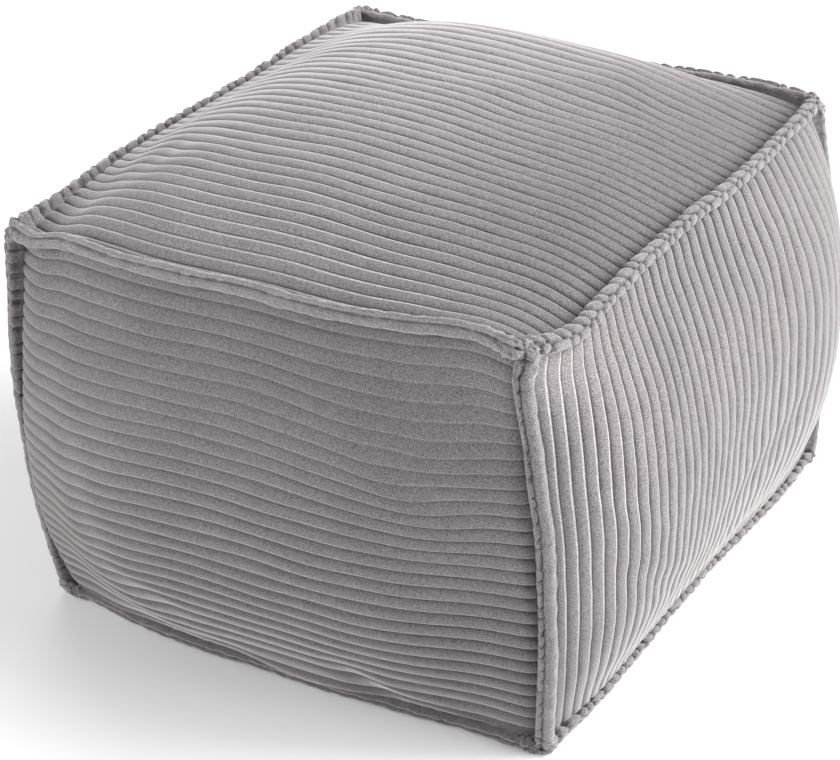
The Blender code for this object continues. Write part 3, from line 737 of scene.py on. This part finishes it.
def lip_mesh(name):
    """Points, faces and painted light and shade of one turned-out seam: two folds side by side."""
    wales, thick, reach, crossed = LIPS[name]
    bead_depth, bead_lean, squareness = BEADS.get(name, USUAL_BEADS)
    seam = SEAMS[name]
    seed = sorted(LIPS).index(name) + 100

    # The sewn line and the lip's own directions along it.
    ends = corner_root(*seam.first), corner_root(*seam.last)
    length = np.linalg.norm(ends[1] - ends[0])
    over = OVERRUN / length * 2
    place = np.linspace(-1 - over, 1 + over, (wales or PLAIN_AS_WALES) * POINTS_A_WALE + 1)
    inner = np.clip(place, -1, 1)
    root = seam.root(inner) + (place - inner)[:, None] * (ends[1] - ends[0]) / 2
    along = unit(np.gradient(root, axis=0))
    lip = unit(np.broadcast_to(seam.lip, along.shape) - along * (along @ seam.lip)[:, None])
    across = unit(np.cross(along, lip))
    if (across @ first_side(seam)).mean() < 0:
        across = -across

    # The plain section at every place.
    metres = place[:, None] * length / 2
    knot = np.exp(-(((1 - np.abs(place)) * length / 2 / KNOT_LENGTH) ** 2))
    radius = np.empty((len(place), 2))
    height = np.empty((len(place), 2))
    drop = MM * LIP_DROP.get(name, 0.0) * (1 - inner**6)
    for fold in (0, 1):
        share = smooth_through(THICKNESS.get(name, EVEN), fold + 1, inner)
        radius[:, fold] = MM * thick[fold] * share * (1 + KNOT_SWELL * knot)
        height[:, fold] = MM * reach[fold] - drop
    side, out, angle, fold = lip_section(radius, height, crossed)
    standing = out > RELIEF_FROM
    is_crossed = np.array([crossed[k] for k in fold])
    fold_row, round_metres = fold[None, :], angle[None, :] * FOLD_RADIUS

    # The beads. Those of the second fold lie half a wale further on.
    lean = np.where(fold == 0, *bead_lean) * np.cos(angle)
    number = (place[:, None] + 1) / 2 * wales + 0.5 * fold_row + lean[None, :]
    number = number + BEAD_WANDER * waves(seed, 5, place[:, None] * 14, fold_row * 3.0, 0.6, 2.5)
    bead = np.where(is_crossed[None, :], wale_height(number, squareness), 1.0)
    depth = bead_depth * (1 + UNEVEN_BEADS * waves(seed + 1, 5, number, fold_row, 1, 4))

    # How far the cloth is pushed out of the plain section.
    push = -depth * (1 - bead)
    crumple = CRUMPLE * np.where(is_crossed, CROSSED_CRUMPLE, 1.0)[None, :]
    push = push + crumple * waves(seed + 2, 9, metres, round_metres, 0.006, 0.02)
    push = push + BULGE * waves(seed + 3, 6, metres, fold_row * 0.02, 0.03, 0.09)
    push = push + KNOT_CRUMPLE * knot[:, None] * waves(seed + 5, 9, metres, round_metres, 0.004, 0.010)
    push = push - CREASE_DEPTH * ~is_crossed[None, :] * creases(seed + 6, metres, angle[None, :])
    side = side + push * np.where(fold == 0, 1.0, -1.0) * np.cos(angle) * standing
    out = out + push * np.sin(angle) * standing
    sway = SWAY * waves(seed + 4, 5, place * length / 2, 0.0, 0.05, 0.16)
    side = side + sway[:, None] * out / LIP_HEIGHT

    # The rounded ends.
    end = np.clip((1 + over - np.abs(place)) / (CLOSING * over), 0, 1)
    shrink = np.sqrt(np.clip(1 - (1 - end) ** 2, SMALLEST_END, 1))[:, None]
    centre_out = CENTRE_SHARE * height.max(axis=1, keepdims=True)
    side = side * shrink
    out = centre_out + (out - centre_out) * shrink
    points = root[:, None, :] + side[..., None] * across[:, None, :] + out[..., None] * lip[:, None, :]
    points[..., 2] = np.clip(points[..., 2], LIP_GAP, None)

    # The faces, turned outwards.
    ring_count, ring = points.shape[:2]
    index = np.arange(ring_count * ring).reshape(ring_count, ring)
    faces = grid_faces(np.concatenate([index, index[:, :1]], axis=1))
    mid, on_crown = len(place) // 2, 9
    a, b, c = points[mid, on_crown], points[mid + 1, on_crown], points[mid, on_crown + 1]
    if np.dot(np.cross(b - a, c - a), a - points[mid].mean(axis=0)) < 0:
        faces = faces[:, ::-1]
    return points.reshape(-1, 3), faces, lip_painted_light(name, bead, number, fold, angle, is_crossed)


def add_piece(name, points, faces, painted_light, material):
    data = bpy.data.meshes.new(name)
    data.from_pydata(points.tolist(), [], faces.tolist())
    # Each point's painted light and shade, as a share of the usual colour.
    pile_and_painted_light = data.attributes.new("pile_and_painted_light", "FLOAT", "POINT")
    pile_and_painted_light.data.foreach_set("value", np.asarray(painted_light, np.float32))
    data.materials.append(material)
    data.shade_smooth()
    data.update()
    return add_thing(name, data)


def set_inputs(node, values):
    for socket, value in values.items():
        node.inputs[socket].default_value = value


def noise(nodes, links, place, scale, detail, roughness):
    made = nodes.new("ShaderNodeTexNoise")
    set_inputs(made, {"Scale": scale, "Detail": detail, "Roughness": roughness})
    links.new(place.outputs["Object"], made.inputs["Vector"])
    return made.outputs["Fac"]


def ranged(nodes, links, source, low, high, to_low, to_high):
    made = nodes.new("ShaderNodeMapRange")
    set_inputs(made, {"From Min": low, "From Max": high, "To Min": to_low, "To Max": to_high})
    links.new(source, made.inputs["Value"])
    return made.outputs["Result"]


def product(nodes, links, first, second):
    made = nodes.new("ShaderNodeMath")
    made.operation = "MULTIPLY"
    links.new(first, made.inputs[0])
    links.new(second, made.inputs[1])
    return made.outputs[0]


# The cloth of the panels and of the seams. Columns: its colour, and how deep its nap is in metres.
VELVETS = {
    "cord_velvet": ((0.207, 0.193, 0.196), 0.0006),
    "cord_velvet_seam": ((0.204, 0.191, 0.194), 0.0010),
}

# The scales of the noise that makes the patches, the flecks of the pile and its nap.
PATCH_SCALE = 16.0
PILE_SCALE = 1250.0
NAP_SCALE = 1000.0


def cord_velvet(name):
    """Velvet whose sheen looks dark from straight on and bright at grazing angles, its colour multiplied by
    random patches, flecks of pile and each piece's painted light and shade.
    """
    base, nap_depth = VELVETS[name]
    material = bpy.data.materials.new(name)
    material.use_nodes = True
    nodes = material.node_tree.nodes
    links = material.node_tree.links
    shader = nodes["Principled BSDF"]
    shader.inputs["Roughness"].default_value = 0.95
    shader.inputs["Specular IOR Level"].default_value = 0.15
    shader.inputs["Sheen Weight"].default_value = 1.0
    shader.inputs["Sheen Roughness"].default_value = 0.34
    shader.inputs["Sheen Tint"].default_value = (0.955, 0.932, 0.938, 1.0)

    place = nodes.new("ShaderNodeTexCoord")
    patches = noise(nodes, links, place, PATCH_SCALE, 5.0, 0.5)
    pile_and_painted_light = noise(nodes, links, place, PILE_SCALE, 2.0, 0.6)
    patch_share = ranged(nodes, links, patches, 0.3, 0.7, 0.95, 1.05)
    pile_share = ranged(nodes, links, pile_and_painted_light, 0.25, 0.75, 0.28, 1.72)

    # The painted light and shade of each point, multiplied into the colour.
    painted_light_attribute = nodes.new("ShaderNodeAttribute")
    painted_light_attribute.attribute_name = "pile_and_painted_light"
    shares = product(nodes, links, patch_share, pile_share)
    shares = product(nodes, links, shares, painted_light_attribute.outputs["Fac"])
    colour = nodes.new("ShaderNodeMix")
    colour.data_type = "RGBA"
    colour.blend_type = "MULTIPLY"
    set_inputs(colour, {"Factor": 1.0, "A": (*base, 1.0)})
    links.new(shares, colour.inputs["B"])
    links.new(colour.outputs["Result"], shader.inputs["Base Color"])

    nap = noise(nodes, links, place, NAP_SCALE, 2.0, 0.65)
    bump = nodes.new("ShaderNodeBump")
    set_inputs(bump, {"Strength": 0.8, "Distance": nap_depth})
    links.new(nap, bump.inputs["Height"])
    links.new(bump.outputs["Normal"], shader.inputs["Normal"])
    return material


def add_thing(name, data):
    thing = bpy.data.objects.new(name, data)
    bpy.context.scene.collection.objects.link(thing)
    return thing


def set_axes(thing, right, up, back):
    turn = Matrix([[right[k], up[k], back[k]] for k in range(3)])
    thing.rotation_euler = turn.to_euler()


# The studio's square lights. Columns: place, width in metres, watts. All shine at one place.
LIGHTS = {
    "right_low": ((2.4, 0.3, 0.9), 1.2, 53),
    "right_high": ((1.70, 1.15, 1.85), 1.7, 92),
    "left_back": ((-1.5, 1.3, 1.8), 1.2, 14),
    "left_front": ((-2.0, -1.8, 1.1), 1.2, 64),
}
LIT_PLACE = np.array([0, 0, 0.15])
SKY_STRENGTH = 0.33
FLOOR_WHITENESS = 0.90
FLOOR_REACH = 8.0


def add_light(name, place, size, power):
    data = bpy.data.lights.new(name, "AREA")
    data.shape = "SQUARE"
    data.size = size
    data.energy = power
    light = add_thing(name, data)
    light.location = place
    forward = unit(LIT_PLACE - np.array(light.location))
    right = unit(np.cross(forward, (0, 0, 1)))
    set_axes(light, right, np.cross(right, forward), -forward)


# The camera: its degrees to the right of the front, upwards and of roll; the place it aims at, in
# widths to the right of the middle and in metres up; its distance in widths; its focal length and
# the picture's width in pixels; and its sensor's width in millimetres.
CAMERA_TURNS = (35.41, 29.93, -4.28)
CAMERA_AIM = (-0.0405, 0.1252)
CAMERA_DISTANCE = 4.398
FOCAL_PIXELS = 2438
PICTURE_WIDTH = 840
SENSOR_WIDTH = 36.0


def add_camera():
    turn, rise, roll = np.radians(CAMERA_TURNS)
    back = np.array([np.sin(turn) * np.cos(rise), -np.cos(turn) * np.cos(rise), np.sin(rise)])
    level = np.array([np.cos(turn), np.sin(turn), 0.0])
    upright = np.cross(back, level)
    right = np.cos(roll) * level + np.sin(roll) * upright
    up = -np.sin(roll) * level + np.cos(roll) * upright
    aim = MIDDLE + level * (CAMERA_AIM[0] * WIDTH) + np.array([0, 0, CAMERA_AIM[1]])
    data = bpy.data.cameras.new("camera")
    data.sensor_width = SENSOR_WIDTH
    data.lens = SENSOR_WIDTH * FOCAL_PIXELS / PICTURE_WIDTH
    data.clip_start = 0.05
    camera = add_thing("camera", data)
    camera.location = aim + back * CAMERA_DISTANCE * WIDTH
    set_axes(camera, right, up, back)
    bpy.context.scene.camera = camera


def add_stage():
    material = bpy.data.materials.new("floor")
    material.use_nodes = True
    white = (FLOOR_WHITENESS, FLOOR_WHITENESS, FLOOR_WHITENESS, 1.0)
    values = {"Base Color": white, "Roughness": 0.9, "Specular IOR Level": 0.1}
    set_inputs(material.node_tree.nodes["Principled BSDF"], values)
    corners = [(x * FLOOR_REACH, y * FLOOR_REACH, 0) for x, y in ((-1, -1), (1, -1), (1, 1), (-1, 1))]
    data = bpy.data.meshes.new("floor")
    data.from_pydata(corners, [], [(0, 1, 2, 3)])
    data.materials.append(material)
    floor = add_thing("floor", data)

    world = bpy.data.worlds.new("studio")
    world.use_nodes = True
    values = {"Color": (1.0, 1.0, 1.0, 1.0), "Strength": SKY_STRENGTH}
    set_inputs(world.node_tree.nodes["Background"], values)
    bpy.context.scene.world = world
    for name, (place, size, power) in LIGHTS.items():
        add_light(name, place, size, power)
    bpy.context.scene.view_settings.view_transform = "Standard"


def main():
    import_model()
    body_cloth = cord_velvet("cord_velvet")
    lip_cloth = cord_velvet("cord_velvet_seam")
    for name in PANELS:
        points, faces, painted_light = panel_mesh(name)
        piece = add_piece(f"panel_{name}", points, faces, painted_light, body_cloth)
        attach(piece, "root")
        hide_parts("filled_body")
    for name in LIPS:
        points, faces, painted_light = lip_mesh(name)
        piece = add_piece(f"lip_{name}", points, faces, painted_light, lip_cloth)
        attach(piece, "root")
        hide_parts(f"seam_{name}")
    add_stage()
    add_camera()


main()
